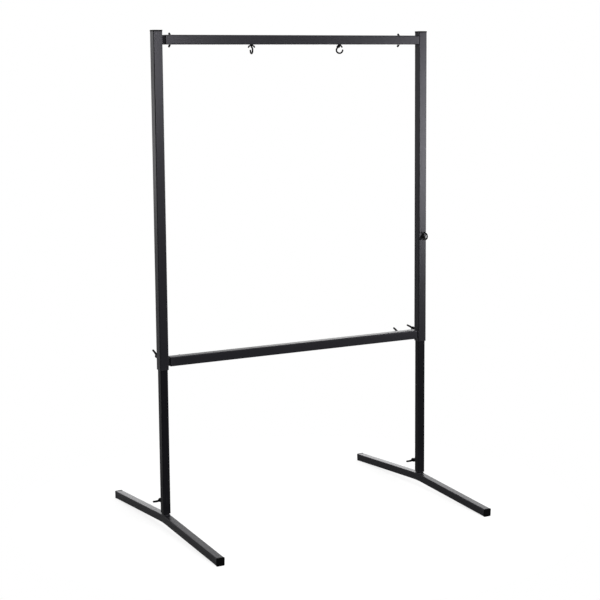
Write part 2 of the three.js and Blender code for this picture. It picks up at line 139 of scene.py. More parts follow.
class StandShape(PropertyGroup):
    """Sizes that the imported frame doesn't give."""

    tube_wall: FloatProperty(
        name="Tube wall", description="Wall of every square tube", default=2 * MM, unit="LENGTH")
    frame_corner: FloatProperty(
        name="Frame corner", description="Outer corner radius of the 30 mm tube",
        default=3 * MM, unit="LENGTH")
    leg_corner: FloatProperty(
        name="Leg corner", description="Outer corner radius of the 25 mm tube",
        default=2.5 * MM, unit="LENGTH")
    spigot_corner: FloatProperty(
        name="Spigot corner", description="Outer corner radius of the 20 mm tube",
        default=2.2 * MM, unit="LENGTH")
    cut_round: FloatProperty(
        name="Cut edge", description="Rounding that the coat leaves on a cut end",
        default=0.45 * MM, unit="LENGTH")
    corner_steps: IntProperty(
        name="Corner steps", description="Faces round each corner of a tube", default=8, min=2)
    foot_drop: FloatProperty(
        name="Foot drop", description="Slope of each half of a foot",
        default=math.radians(3.5), subtype="ANGLE")
    foot_bend: FloatProperty(
        name="Foot bend", description="Radius of the bend at a foot's middle", default=0.5, unit="LENGTH")
    screw_hole: FloatProperty(
        name="Wall hole", description="Radius of the holes in the walls", default=4.5 * MM, unit="LENGTH")
    stub_weld: FloatProperty(
        name="Stub weld", description="Radius of the bead round a stub", default=1.2 * MM, unit="LENGTH")
    spigot_weld: FloatProperty(
        name="Spigot weld", description="Radius of the bead round a spigot",
        default=2.2 * MM, unit="LENGTH")
    boss_weld: FloatProperty(
        name="Boss weld", description="Radius of the bead round a boss", default=1.1 * MM, unit="LENGTH")
    weld_pitch: FloatProperty(
        name="Weld ripple", description="Length of one ripple of a bead", default=1.7 * MM, unit="LENGTH")
    screw_pitch: FloatProperty(
        name="Screw pitch", description="Thread pitch of the wing screws", default=1.25 * MM, unit="LENGTH")
    screw_depth: FloatProperty(
        name="Screw thread", description="Thread depth of the wing screws", default=0.7 * MM, unit="LENGTH")
    hook_pitch: FloatProperty(
        name="Hook pitch", description="Thread pitch of the hooks", default=0.8 * MM, unit="LENGTH")
    hook_depth: FloatProperty(
        name="Hook thread", description="Thread depth of the hooks", default=0.4 * MM, unit="LENGTH")
    cast_voxel: FloatProperty(
        name="Cast detail", description="Cell size of the cast heads and nuts",
        default=0.5 * MM, unit="LENGTH")
    plug_round: FloatProperty(
        name="Plug edge", description="Rounding of a plastic plug's rim", default=0.9 * MM, unit="LENGTH")


class StandFinish(PropertyGroup):
    """Colours and surface values of the stand."""

    frame_colour: FloatVectorProperty(
        name="Frame coat", description="Powder coat of uprights, bars and feet",
        default=(0.0078, 0.0076, 0.0100), subtype="COLOR", min=0, max=1)
    leg_colour: FloatVectorProperty(
        name="Leg coat", description="Coat of the sliding legs",
        default=(0.005, 0.005, 0.0065), subtype="COLOR", min=0, max=1)
    hardware_colour: FloatVectorProperty(
        name="Hardware", description="Black coat of screws, nuts and hooks",
        default=(0.003, 0.003, 0.0032), subtype="COLOR", min=0, max=1)
    plastic_colour: FloatVectorProperty(
        name="Plastic", description="Moulded caps and plugs",
        default=(0.003, 0.003, 0.0032), subtype="COLOR", min=0, max=1)
    worn_colour: FloatVectorProperty(
        name="Worn coat", description="Coat where it is rubbed thin",
        default=(0.06, 0.06, 0.063), subtype="COLOR", min=0, max=1)
    dust_colour: FloatVectorProperty(
        name="Dust", description="Settled dust",
        default=(0.16, 0.155, 0.15), subtype="COLOR", min=0, max=1)
    gloss_tint: FloatVectorProperty(
        name="Gloss tint", description="Tint of the reflections", default=(0.93, 0.91, 1.0),
        subtype="COLOR", min=0, max=1)
    frame_roughness: FloatProperty(
        name="Frame roughness", description="Roughness of the powder coat", default=0.33, subtype="FACTOR")
    leg_roughness: FloatProperty(
        name="Leg roughness", description="Roughness of the leg coat", default=0.33, subtype="FACTOR")
    hardware_roughness: FloatProperty(
        name="Hardware roughness", description="Roughness of screws and hooks",
        default=0.42, subtype="FACTOR")
    plastic_roughness: FloatProperty(
        name="Plastic roughness", description="Roughness of the plugs", default=0.55, subtype="FACTOR")


class StandStudio(PropertyGroup):
    """Camera, floor and light."""

    lens: FloatProperty(
        name="Lens", description="Focal length in millimetres on a 36 mm sensor", default=88.475)
    camera_place: FloatVectorProperty(
        name="Camera place", description="Where the camera stands", default=(-2.2974, -4.2296, 1.4733),
        subtype="TRANSLATION", unit="LENGTH")
    camera_turn: FloatProperty(
        name="Camera turn", description="Turn of the view from straight ahead to the right",
        default=math.radians(28.6405), subtype="ANGLE")
    camera_tilt: FloatProperty(
        name="Camera tilt", description="Tilt of the view below level",
        default=math.radians(7.4406), subtype="ANGLE")
    camera_roll: FloatProperty(
        name="Camera roll", description="Roll of the camera",
        default=math.radians(-0.4407), subtype="ANGLE")
    camera_rise: FloatProperty(
        name="Vertical shift", description="Shift of the picture upwards, as a share of its width",
        default=-0.07)
    floor_radius: FloatProperty(
        name="Floor radius", description="Radius of the floor disc", default=0.95, unit="LENGTH")
    floor_colour: FloatVectorProperty(
        name="Floor colour", description="Colour of the floor", default=(0.28, 0.28, 0.28),
        subtype="COLOR", min=0, max=1)
    floor_lift: FloatProperty(
        name="Floor lift", description="Light added to the floor that the camera sees", default=0.8)
    room_level: FloatProperty(
        name="Room level", description="Even light from the whole room", default=0.5)


# Meshes


def turns(count):
    """Angles that share out a full turn."""
    return [i / count * 2 * math.pi for i in range(count)]


def quarter(steps):
    """Angles from zero to a right angle."""
    return [i / steps * math.pi / 2 for i in range(steps + 1)]


def circle(radius, height, facets):
    """Points of a level circle round Z."""
    return [Vector((radius * math.cos(a), radius * math.sin(a), height)) for a in turns(facets)]


def quad_curve(a, b, c, t):
    """Point at t of the curve that leaves a towards b and comes to c from b."""
    return a * (1 - t) ** 2 + b * 2 * t * (1 - t) + c * t * t


def cubic_curve(a, b, c, d, t):
    """Point at t of the curve that leaves a towards b and comes to d from c."""
    return a * (1 - t) ** 3 + b * 3 * t * (1 - t) ** 2 + c * 3 * t * t * (1 - t) + d * t ** 3


def new_mesh(name, bm):
    """Turns a bmesh into a mesh and frees it."""
    mesh = bpy.data.meshes.new(name)
    bm.to_mesh(mesh)
    bm.free()
    return mesh


def add_object(name, data):
    """Puts an object with this mesh, lamp or camera in the scene."""
    obj = bpy.data.objects.new(name, data)
    bpy.context.scene.collection.objects.link(obj)
    return obj


def solid(name, bm, edge=None):
    """Turns a bmesh into an object. How far each vertex stands out is given, or else measured."""
    bmesh.ops.recalc_face_normals(bm, faces=bm.faces)
    mesh = new_mesh(name, bm)
    mesh.shade_smooth()
    if edge is None:
        mark_edges(mesh)
    else:
        store_edge(mesh, edge)
    return add_object(name, mesh)


def mark_edges(mesh, gain=4.0):
    """Measures how sharply each vertex stands out, from 0 to 1, for the wear to read."""
    count = len(mesh.vertices)
    places = np.empty(count * 3, np.float32)
    normals = np.empty(count * 3, np.float32)
    pairs = np.empty(len(mesh.edges) * 2, np.int32)
    mesh.vertices.foreach_get("co", places)
    mesh.vertices.foreach_get("normal", normals)
    mesh.edges.foreach_get("vertices", pairs)
    places, normals, pairs = places.reshape(-1, 3), normals.reshape(-1, 3), pairs.reshape(-1, 2)
    step = places[pairs[:, 1]] - places[pairs[:, 0]]
    step /= np.maximum(np.linalg.norm(step, axis=1, keepdims=True), TINY)
    bulge = np.zeros(count)
    met = np.zeros(count)
    for end, sign in ((0, -1.0), (1, 1.0)):
        np.add.at(bulge, pairs[:, end], sign * (step * normals[pairs[:, end]]).sum(1))
        np.add.at(met, pairs[:, end], 1)
    store_edge(mesh, np.clip(bulge / np.maximum(met, 1) * gain, 0, 1))


def store_edge(mesh, values):
    """Keeps one value for each vertex where the edge wear reads it."""
    layer = mesh.attributes.new(EDGE, "FLOAT", "POINT")
    layer.data.foreach_set("value", np.asarray(values, np.float32))


def weigh_normals(obj):
    """Keeps flat faces flat beside small rounded ones."""
    modifier = obj.modifiers.new("Even normals", "WEIGHTED_NORMAL")
    modifier.mode = "FACE_AREA"
    modifier.weight = 50
    modifier.keep_sharp = True


def ring_of(bm, points):
    """New vertices at these points."""
    return [bm.verts.new(point) for point in points]


def ring_round(bm, centre, u, v, radius, sides):
    """New vertices round a centre, in the plane of two unit vectors."""
    return ring_of(bm, [centre + u * radius * math.cos(a) + v * radius * math.sin(a) for a in turns(sides)])


def loft(bm, rings, closed=False, filled=False):
    """Joins rings of equal length with quads. The last meets the first, or both are filled, when asked."""
    pairs = list(zip(rings, rings[1:]))
    if closed:
        pairs.append((rings[-1], rings[0]))
    for low, high in pairs:
        for i, corner in enumerate(low):
            j = (i + 1) % len(low)
            bm.faces.new((corner, low[j], high[j], high[i]))
    if filled:
        bm.faces.new(rings[0][::-1])
        bm.faces.new(rings[-1])


def lathe(bm, profile, facets):
    """Turns a profile of (radius, height) about Z. It closes on itself unless its ends lie on the axis."""
    rings = []
    for radius, height in profile:
        rings.append(ring_of(bm, circle(radius, height, facets if radius > TINY else 1)))
    pairs = list(zip(rings, rings[1:]))
    if len(rings[0]) > 1:
        pairs.append((rings[-1], rings[0]))
    for low, high in pairs:
        for i in range(facets):
            j = (i + 1) % facets
            corners = (low[i % len(low)], low[j % len(low)], high[j % len(high)], high[i % len(high)])
            bm.faces.new(tuple(dict.fromkeys(corners)))


def eased(profile, radius, steps=4, share=0.45):
    """Rounds the inner corners of an open profile, over no more than a share of each line beside them."""
    points = [Vector(p) for p in profile]
    result = [points[0]]
    for before, corner, after in zip(points, points[1:], points[2:]):
        back, onward = before - corner, after - corner
        reach = min(radius, back.length * share, onward.length * share)
        start, end = corner + back.normalized() * reach, corner + onward.normalized() * reach
        result += [quad_curve(start, corner, end, i / steps) for i in range(steps + 1)]
    result.append(points[-1])
    return [tuple(p) for p in result]


def rounded_square(size, radius, steps):
    """Corner points of a square with round corners, counter-clockwise."""
    flat = size / 2 - radius
    centres = ((flat, -flat), (flat, flat), (-flat, flat), (-flat, -flat))
    points = []
    for corner, (x, y) in enumerate(centres):
        for i in range(steps + 1):
            angle = (corner - 1 + i / steps) * math.pi / 2
            points.append((x + radius * math.cos(angle), y + radius * math.sin(angle)))
    return points


def wall_path(length, wall, rounding, marks, steps=3):
    """How far along, how deep and how worn each ring of a tube is: along the outside and back inside."""
    rim = [(rounding * (1 - math.sin(a)), rounding * (1 - math.cos(a)), RIM_WEAR) for a in quarter(steps)]
    near = rim[::-1] + [(FADE_START, 0, FADE_WEAR), (FADE_END, 0, 0.0)]
    far = [(length - along, depth, worn) for along, depth, worn in reversed(near)]
    outer = near + [(along, 0, 0.0) for along in marks] + far
    return outer + [(along, wall - depth, worn * BORE_WEAR) for along, depth, worn in reversed(outer)]


def tube(name, size, corner, length, place, holes=(), marks=()):
    """Square tube with eased ends, by place(along, u, v). A hole is a length along it and a direction."""
    shape = bpy.context.scene.stand_shape
    steps = shape.corner_steps
    flat = size / 2 - corner
    marks = sorted([*marks, *(along + beside for along, _ in holes for beside in (-flat, flat))])
    bm = bmesh.new()
    rings, edge = [], []
    for along, depth, worn in wall_path(length, shape.tube_wall, shape.cut_round, marks):
        outline = rounded_square(size - 2 * depth, max(corner - depth, BORE_CORNER), steps)
        rings.append(ring_of(bm, [place(along, u, v) for u, v in outline]))
        outside = depth < shape.cut_round
        for i in range(len(outline)):
            ridge = CORNER_WEAR if 0 < i % (steps + 1) < steps else FLAT_WEAR
            edge.append(max(worn, ridge if outside else 0))
    loft(bm, rings, closed=True)
    for along, outward in holes:
        pierce(bm, place(along, 0, 0), outward, size / 2, shape.screw_hole)
        edge.extend([HOLE_WEAR] * (len(bm.verts) - len(edge)))
    obj = solid(name, bm, edge)
    weigh_normals(obj)
    return obj


def pierce(bm, centre, outward, half, radius, facets=32, square_on=0.999):
    """Cuts a round hole through the one wall that lies outward of the tube's centre line."""
    across = outward.cross(RIGHT)

    def angle_of(vert):
        offset = vert.co - centre
        return math.atan2(offset.dot(across), offset.dot(RIGHT))

    walls = []
    for face in bm.faces:
        face.normal_update()
        rise = (face.verts[0].co - centre).dot(outward)
        spans = [[(vert.co - centre).dot(axis) for vert in face.verts] for axis in (RIGHT, across)]
        around = all(min(span) < 0 < max(span) for span in spans)
        if around and rise >= half / 2 and abs(face.normal.dot(outward)) >= square_on:
            walls.append((rise, face))
    rings = []
    for rise, face in sorted(walls, key=lambda wall: wall[0]):
        corners = list(face.verts)
        first = angle_of(corners[0])
        sign = 1 if (angle_of(corners[1]) - first) % (2 * math.pi) < math.pi else -1
        first = math.pi / 4 + round((first - math.pi / 4) / (math.pi / 2)) * math.pi / 2
        ring = []
        for angle in turns(facets):
            offset = RIGHT * math.cos(first + sign * angle) + across * math.sin(first + sign * angle)
            ring.append(bm.verts.new(centre + outward * rise + offset * radius))
        bm.faces.remove(face)
        share = facets // 4
        for k in range(4):
            arc = [ring[(k * share + i) % facets] for i in range(share + 1)]
            bm.faces.new([corners[k], corners[(k + 1) % 4]] + arc[::-1])
        rings.append(ring if sign > 0 else [ring[0]] + ring[:0:-1])
    loft(bm, rings)


def straight_tube(name, node, corner, holes=(), lying=False):
    """Square tube in its node's box, upright or lying along X, with holes at the middle of other nodes."""
    low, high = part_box(node)
    centre = middle(node)
    axis = 0 if lying else 2
    size = high[2 - axis] - low[2 - axis]

    def place(along, u, v):
        if lying:
            return Vector((low.x + along, centre.y + u, centre.z + v))
        return Vector((centre.x + u, centre.y + v, low.z + along))

    cuts = [(middle(fitting)[axis] - low[axis], outward) for fitting, outward in holes]
    return tube(name, size, corner, high[axis] - low[axis], place, cuts)


def threaded_rod(bm, radius, depth, pitch, low, high, chamfer, facets=28, rows=7, flank=2.6):
    """Rod along Z with a real helical thread and a chamfered lower end."""
    count = max(2, round((high - low) / pitch * rows))
    rings = []
    for k in range(count + 1):
        z = low + (high - low) * k / count
        ring = []
        for i, angle in enumerate(turns(facets)):
            phase = (z / pitch - i / facets) % 1.0
            ridge = min(1.0, max(0.0, flank * (0.5 - abs(phase - 0.5))))
            r = min(radius - depth * (1 - ridge), radius - chamfer + (z - low))
            ring.append((r * math.cos(angle), r * math.sin(angle), z))
        rings.append(ring_of(bm, ring))
    loft(bm, rings, filled=True)


def bead(bm, points, outwards, axis, radius, rng, sides=10):
    """Weld bead along a closed line at the foot of a joint, with the crescents that its pool left."""
    pitch = bpy.context.scene.stand_shape.weld_pitch
    lengths = [(point - points[i - 1]).length for i, point in enumerate(points)]
    whole = sum(lengths)
    crescents = max(1, round(whole / pitch))
    lumps = [rng.uniform(-1, 1) for _ in range(max(4, round(whole / (SWELL_RIPPLES * pitch))))]
    nudges = [rng.uniform(-RIPPLE_STRAY, RIPPLE_STRAY) for _ in range(crescents + 1)]
    rings = []
    run = 0.0
    for i, (point, outward) in enumerate(zip(points, outwards)):
        share = run / whole
        spot = share * len(lumps)
        low, high = lumps[int(spot) % len(lumps)], lumps[(int(spot) + 1) % len(lumps)]
        swell = low + (high - low) * (1 - math.cos(math.pi * (spot % 1))) / 2
        pool = share * crescents
        phase = (pool + nudges[int(pool) % crescents]) % 1
        ripple = (1 - (1 - phase) ** 3) * (1 - max(0.0, phase - RIPPLE_PEAK) / (1 - RIPPLE_PEAK))
        r = radius * (BEAD_BASE + BEAD_RIPPLE * ripple + BEAD_SWELL * swell)
        centre = point + (outward + axis) * radius * BEAD_LIFT
        rings.append(ring_round(bm, centre, outward, axis, r, sides))
        run += lengths[(i + 1) % len(points)]
    loft(bm, rings, closed=True)


def square_weld(name, body, size, corner, foot, axes, radius, rng):
    """Weld bead round a square tube's foot. The axes are two across the tube and one along it."""
    u, v, along = axes
    flat = size / 2 - corner
    outline = rounded_square(size, corner, WELD_CORNER_STEPS)
    points, outwards = [], []
    for (x, y), (next_x, next_y) in zip(outline, outline[1:] + outline[:1]):
        count = max(1, round(math.hypot(next_x - x, next_y - y) / WELD_STEP))
        for k in range(count):
            px, py = x + (next_x - x) * (k / count), y + (next_y - y) * (k / count)
            past_x, past_y = (p - max(-flat, min(flat, p)) for p in (px, py))
            points.append(foot + u * px + v * py)
            outwards.append((u * past_x + v * past_y).normalized())
    bm = bmesh.new()
    bead(bm, points, outwards, along, radius, rng)
    finish_piece(solid(name, bm), body, "Frame coat")


def wing(bm, reach, top, root, thick, tip_radius, low_bend=0.55, start=0.0, turn=1):
    """One cast wing along X, as a sweep of soft sections from the hub to a round tip.

    Root is its lowest and highest point at the hub, and thick is half its thickness at the root and the tip.
    The two bends say how far out its lower and its upper edge turn up, and start where it begins, as shares.
    """
    steps, sides, tip_steps = 16, 24, 6
    high_bend = 0.5
    boxiness, tip_boxiness = 0.75, 0.6
    thinning = 1.25
    slope = math.sqrt(0.5)
    out, up = Vector((slope, 0, slope)), Vector((-slope, 0, slope))
    tip = Vector((reach - tip_radius, 0, top - tip_radius))
    rings = []

    def soft(value):
        return math.copysign(abs(value) ** boxiness, value)

    def section(centre, half_width, half_thick):
        ring = []
        for a in turns(sides):
            point = centre + half_width * soft(math.cos(a)) + Vector((0, half_thick * soft(math.sin(a)), 0))
            ring.append((point.x * turn, point.y * turn, point.z))
        rings.append(ring_of(bm, ring))

    def edge_point(height, bend, end, t):
        return quad_curve(Vector((0, 0, height)), Vector((reach * bend, 0, height)), end, t)

    for i in range(steps + 1):
        t = start + (1 - start) * i / steps
        low = edge_point(root[0], low_bend, tip - up * tip_radius, t)
        high = edge_point(root[1], high_bend, tip + up * tip_radius, t)
        section((low + high) / 2, (high - low) / 2, thick[0] + (thick[1] - thick[0]) * min(1, t * thinning))
    for a in quarter(tip_steps)[1:-1]:
        half_thick = thick[1] * math.cos(a) ** tip_boxiness
        section(tip + out * tip_radius * math.sin(a), up * tip_radius * math.cos(a), half_thick)
    loft(bm, rings, filled=True)


def wire_along(bm, path, radius, sides=20, end_steps=5):
    """Round wire through the points of a path in the XZ plane, with round ends."""
    last = len(path) - 1
    ways = [(path[min(i + 1, last)] - path[max(i - 1, 0)]).normalized() for i in range(len(path))]
    rings = []

    def section(point, way, r):
        rings.append(ring_round(bm, point, BACK, way.cross(BACK), r, sides))

    rounding = [(radius * math.sin(a), radius * math.cos(a)) for a in quarter(end_steps)[1:-1]]
    for past, r in reversed(rounding):
        section(path[0] - ways[0] * past, ways[0], r)
    for point, way in zip(path, ways):
        section(point, way, radius)
    for past, r in rounding:
        section(path[-1] + ways[-1] * past, ways[-1], r)
    loft(bm, rings, filled=True)


def cast(name, bm, smoothing):
    """Fuses overlapping closed bodies into one soft-edged casting and gives its mesh."""
    bmesh.ops.recalc_face_normals(bm, faces=bm.faces)
    rough = new_mesh(name, bm)
    obj = add_object(name, rough)
    remesh = obj.modifiers.new("Fuse", "REMESH")
    remesh.mode = "VOXEL"
    remesh.voxel_size = bpy.context.scene.stand_shape.cast_voxel
    smooth = obj.modifiers.new("Soften", "SMOOTH")
    smooth.factor = 0.5
    smooth.iterations = smoothing
    bpy.context.view_layer.update()
    mesh = bpy.data.meshes.new_from_object(obj.evaluated_get(bpy.context.evaluated_depsgraph_get()))
    bpy.data.objects.remove(obj)
    bpy.data.meshes.remove(rough)
    return mesh


def pattern(name, bm, casting=None):
    """Mesh of a bmesh's bodies and a casting, to be copied to every place where the piece is."""
    bmesh.ops.recalc_face_normals(bm, faces=bm.faces)
    if casting is not None:
        bm.from_mesh(casting)
        bpy.data.meshes.remove(casting)
    mesh = new_mesh(name, bm)
    mesh.shade_smooth()
    mark_edges(mesh)
    return mesh


def place_copy(name, mesh, matrix):
    """Puts a copy of a mesh in the scene, moved by a matrix."""
    obj = add_object(name, mesh.copy())
    obj.data.transform(matrix)
    return obj


def facing_back(place):
    """Matrix that puts a piece along Z at a place, pointing back."""
    return Matrix.Translation(place) @ Matrix.Rotation(-math.pi / 2, 4, "X")


def turned(degrees):
    """Matrix that turns a piece about its own axis."""
    return Matrix.Rotation(math.radians(degrees), 4, "Z")


def middle(node):
    """Centre of a CAD node's box."""
    low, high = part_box(node)
    return (low + high) / 2


def finish_piece(obj, body, coat, node=None):
    """Gives a piece its body, its coat with that coat's slot, and the CAD node that it replaces, if any."""
    obj.data.materials.append(bpy.data.materials[coat])
    if node is not None:
        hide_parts(node)
    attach(obj, body)


# Finishes


def new_group(name, inputs, outputs):
    """New shader group, its input values, its result sockets, and the place on the object.

    Inputs are given as (name, kind, default) and outputs as (name, kind).
    """
    group = bpy.data.node_groups.new(name, "ShaderNodeTree")
    for label, kind, value in inputs:
        item = group.interface.new_socket(name=label, in_out="INPUT", socket_type="NodeSocket" + kind)
        item.default_value = value
    for label, kind in outputs:
        group.interface.new_socket(name=label, in_out="OUTPUT", socket_type="NodeSocket" + kind)
    given = group.nodes.new("NodeGroupInput").outputs
    result = group.nodes.new("NodeGroupOutput").inputs
    place = group.nodes.new("ShaderNodeTexCoord").outputs["Object"]
    return group, given, result, place


def add_node(tree, kind, links=None, **settings):
    """Adds a node, sets its properties and sockets, and links what is given as sockets."""
    node = tree.nodes.new(kind)
    for key, value in settings.items():
        setattr(node, key, value)
    for key, value in (links or {}).items():
        if isinstance(value, bpy.types.NodeSocket):
            tree.links.new(value, node.inputs[key])
        else:
            node.inputs[key].default_value = value
    return node


def maths(tree, operation, a, b, c=None, clamp=False):
    """Result of a Math node on two or three values."""
    links = {i: value for i, value in enumerate((a, b, c)) if value is not None}
    return add_node(tree, "ShaderNodeMath", links, operation=operation, use_clamp=clamp).outputs[0]


def spread(tree, value, low, high, to_low=0.0, to_high=1.0):
    """Stretches the range from low to high to another one, and keeps the value in it."""
    ranges = {"From Min": low, "From Max": high, "To Min": to_low, "To Max": to_high}
    return add_node(tree, "ShaderNodeMapRange", {"Value": value, **ranges}).outputs["Result"]


def noise(tree, place, scale, detail, roughness=0.5):
    """Soft noise from 0 to 1."""
    links = {"Vector": place, "Scale": scale, "Detail": detail, "Roughness": roughness}
    return add_node(tree, "ShaderNodeTexNoise", links).outputs["Fac"]


def blend(tree, mask, colour, over):
    """Lays one colour over another where the mask is white."""
    links = {MIX_MASK: mask, MIX_UNDER: colour, MIX_OVER: over}
    return add_node(tree, "ShaderNodeMix", links, data_type="RGBA").outputs[MIX_RESULT]


def rgba(colour):
    """Opaque colour for a socket."""
    return (*colour, 1.0)


def coat_texture():
    """Orange peel and an uneven gloss."""
    group, given, result, place = new_group("Coat Texture", (
        ("Peel Scale", "Float", 620.0),
        ("Fine Scale", "Float", 2400.0),
        ("Fine Share", "Float", 0.3),
        ("Roughness", "Float", 0.4),
        ("Roughness Spread", "Float", 0.06),
        ("Patch Scale", "Float", 14.0),
    ), (("Height", "Float"), ("Roughness", "Float")))
    peel = noise(group, place, given["Peel Scale"], detail=2.0)
    fine = noise(group, place, given["Fine Scale"], detail=3.0)
    height = maths(group, "MULTIPLY_ADD", fine, given["Fine Share"], peel)
    offset = maths(group, "SUBTRACT", noise(group, place, given["Patch Scale"], detail=3.0), 0.5)
    rough = maths(group, "MULTIPLY_ADD", offset, given["Roughness Spread"], given["Roughness"])
    group.links.new(height, result["Height"])
    group.links.new(rough, result["Roughness"])
    return group


def colour_drift():
    """Slow change of a coat's colour, and the specks in it."""
    group, given, result, place = new_group("Colour Drift", (
        ("Colour", "Color", (0.02, 0.02, 0.02, 1)),
        ("Drift", "Float", 0.15),
        ("Patch Scale", "Float", 9.0),
        ("Speck Scale", "Float", 1400.0),
        ("Specks", "Float", 0.1),
    ), (("Colour", "Color"),))
    patch = noise(group, place, given["Patch Scale"], detail=4.0, roughness=0.6)
    speck = noise(group, place, given["Speck Scale"], detail=1.0)
    slow = maths(group, "MULTIPLY", maths(group, "SUBTRACT", patch, 0.5), given["Drift"])
    quick = maths(group, "MULTIPLY", maths(group, "SUBTRACT", speck, 0.5), given["Specks"])
    gain = maths(group, "ADD", maths(group, "ADD", slow, quick), 1.0)
    links = {0: given["Colour"], "Scale": gain}
    scaled = add_node(group, "ShaderNodeVectorMath", links, operation="SCALE")
    group.links.new(scaled.outputs["Vector"], result["Colour"])
    return group


def edge_wear():
    """Mask of the edges where the coat is rubbed thin."""
    group, given, result, place = new_group("Edge Wear", (
        ("Amount", "Float", 0.3),
        ("Breakup Scale", "Float", 220.0),
    ), (("Mask", "Float"),))
    edge = add_node(group, "ShaderNodeAttribute", attribute_name=EDGE).outputs["Fac"]
    broken = noise(group, place, given["Breakup Scale"], detail=4.0, roughness=0.65)
    broken = spread(group, broken, low=0.35, high=0.7)
    ragged = maths(group, "MULTIPLY", edge, broken)
    mask = maths(group, "MULTIPLY", ragged, given["Amount"], clamp=True)
    group.links.new(mask, result["Mask"])
    return group


def settled_dust():
    """Mask of the fine dust that lies on what faces up."""
    group, given, result, place = new_group("Settled Dust", (
        ("Amount", "Float", 0.05),
        ("Scale", "Float", 60.0),
    ), (("Mask", "Float"),))
    normal = add_node(group, "ShaderNodeNewGeometry").outputs["Normal"]
    rise = add_node(group, "ShaderNodeSeparateXYZ", {0: normal}).outputs["Z"]
    lying = spread(group, rise, low=0.35, high=0.95)
    cloud = noise(group, place, given["Scale"], detail=6.0, roughness=0.7)
    cloud = spread(group, cloud, low=0.35, high=0.75, to_low=0.3)
    settled = maths(group, "MULTIPLY", lying, cloud)
    mask = maths(group, "MULTIPLY", settled, given["Amount"], clamp=True)
    group.links.new(mask, result["Mask"])
    return group


def slide_marks():
    """Mask of fine lines where one tube slides in another."""
    group, given, result, place = new_group("Slide Marks", (
        ("Lines", "Vector", (700.0, 700.0, 6.0)),
        ("Amount", "Float", 0.2),
    ), (("Mask", "Float"),))
    links = {0: place, 1: given["Lines"]}
    stretched = add_node(group, "ShaderNodeVectorMath", links, operation="MULTIPLY").outputs["Vector"]
    lines = spread(group, noise(group, stretched, scale=1.0, detail=2.0), low=0.62, high=0.74)
    broken = spread(group, noise(group, place, scale=35.0, detail=3.0), low=0.45, high=0.65)
    marks = maths(group, "MULTIPLY", lines, broken)
    mask = maths(group, "MULTIPLY", marks, given["Amount"], clamp=True)
    group.links.new(mask, result["Mask"])
    return group


def paint(name, colour, roughness, groups, peel=(620.0, 2400.0, 0.3), bump=0.18, depth=0.08 * MM,
          wear=0.3, dust=0.05, drift=0.15, marks=None, specular=0.5):
    """Coated or moulded black surface. Peel is its coarse scale, its fine scale and the latter's share."""
    finish = bpy.context.scene.stand_finish
    worn = rgba(finish.worn_colour)
    material = bpy.data.materials.new(name)
    material.use_nodes = True
    tree = material.node_tree
    shader = tree.nodes["Principled BSDF"].inputs
    shader["Specular IOR Level"].default_value = specular
    shader["Specular Tint"].default_value = rgba(finish.gloss_tint)

    def use(group, **values):
        links = {key.replace("_", " "): value for key, value in values.items()}
        return add_node(tree, "ShaderNodeGroup", links, node_tree=groups[group]).outputs

    coarse, fine, share = peel
    texture = use("Coat Texture", Peel_Scale=coarse, Fine_Scale=fine, Fine_Share=share, Roughness=roughness)
    shade = use("Colour Drift", Colour=rgba(colour), Drift=drift)["Colour"]
    if marks:
        shade = blend(tree, use("Slide Marks", Lines=marks, Amount=0.5)["Mask"], shade, worn)
    shade = blend(tree, use("Edge Wear", Amount=wear)["Mask"], shade, worn)
    shade = blend(tree, use("Settled Dust", Amount=dust)["Mask"], shade, rgba(finish.dust_colour))
    relief = {"Strength": bump, "Distance": depth, "Height": texture["Height"]}
    normal = add_node(tree, "ShaderNodeBump", relief).outputs["Normal"]
    tree.links.new(shade, shader["Base Color"])
    tree.links.new(texture["Roughness"], shader["Roughness"])
    tree.links.new(normal, shader["Normal"])


class STAND_OT_finishes(Operator):
    """Makes the shared effects and the stand's finishes"""

    bl_idname = "stand.finishes"
    bl_label = "Finishes"

    def execute(self, context):
        finish = context.scene.stand_finish
        makers = (coat_texture, colour_drift, edge_wear, settled_dust, slide_marks)
        groups = {group.name: group for group in (make() for make in makers)}
        paint("Frame coat", finish.frame_colour, finish.frame_roughness, groups, specular=0.42)
        bare = (finish.leg_colour, finish.leg_roughness, groups)
        across, along, along_leg = 900.0, 6.0, 5.0
        # The stubs' coat is the legs' coat with its gloss nearly taken away. This darker copy paints the
        # shade that falls in the gaps between the bar ends and the uprights.
        paint("Stub coat with painted shade", *bare, marks=(along, across, across), specular=0.04)
        paint("Spigot coat", *bare, marks=(across, across, along), specular=0.15)
        paint("Leg coat", *bare, marks=(across, across, along_leg), specular=0.15)
        paint("Black hardware", finish.hardware_colour, finish.hardware_roughness, groups,
              peel=(1600.0, 4200.0, 0.5), bump=0.35, depth=0.05 * MM, wear=0.35, dust=0.02, specular=0.08)
        paint("Black plastic", finish.plastic_colour, finish.plastic_roughness, groups,
              peel=(2600.0, 6000.0, 0.6), bump=0.3, depth=0.05 * MM, wear=0.15, dust=0.02, drift=0.1,
              specular=0.05)
        return {"FINISHED"}


# Tubes


class STAND_OT_uprights(Operator):
    """Builds the two uprights with the holes for their height screws and the mallet hook"""

    bl_idname = "stand.uprights"
    bl_label = "Uprights"

    def execute(self, context):
        corner = context.scene.stand_shape.frame_corner
        for side in SIDES:
            node = f"{side}_upright_tube"
            holes = [(f"{side}_upright_boss", BACK)]
            if side == "right":
                holes.append(("mallet_hook_insert", -BACK))
            piece = straight_tube(f"{side}_upright", node, corner, holes)
            finish_piece(piece, f"{side}_upright", "Frame coat", node)
        return {"FINISHED"}


class STAND_OT_legs(Operator):
    """Builds the two sliding legs"""

    bl_idname = "stand.legs"
    bl_label = "Legs"

    def execute(self, context):
        corner = context.scene.stand_shape.leg_corner
        for side in SIDES:
            node = f"{side}_leg_tube"
            piece = straight_tube(f"{side}_leg", node, corner, [(f"{side}_leg_boss", BACK)])
            finish_piece(piece, f"{side}_leg", "Leg coat", node)
        return {"FINISHED"}


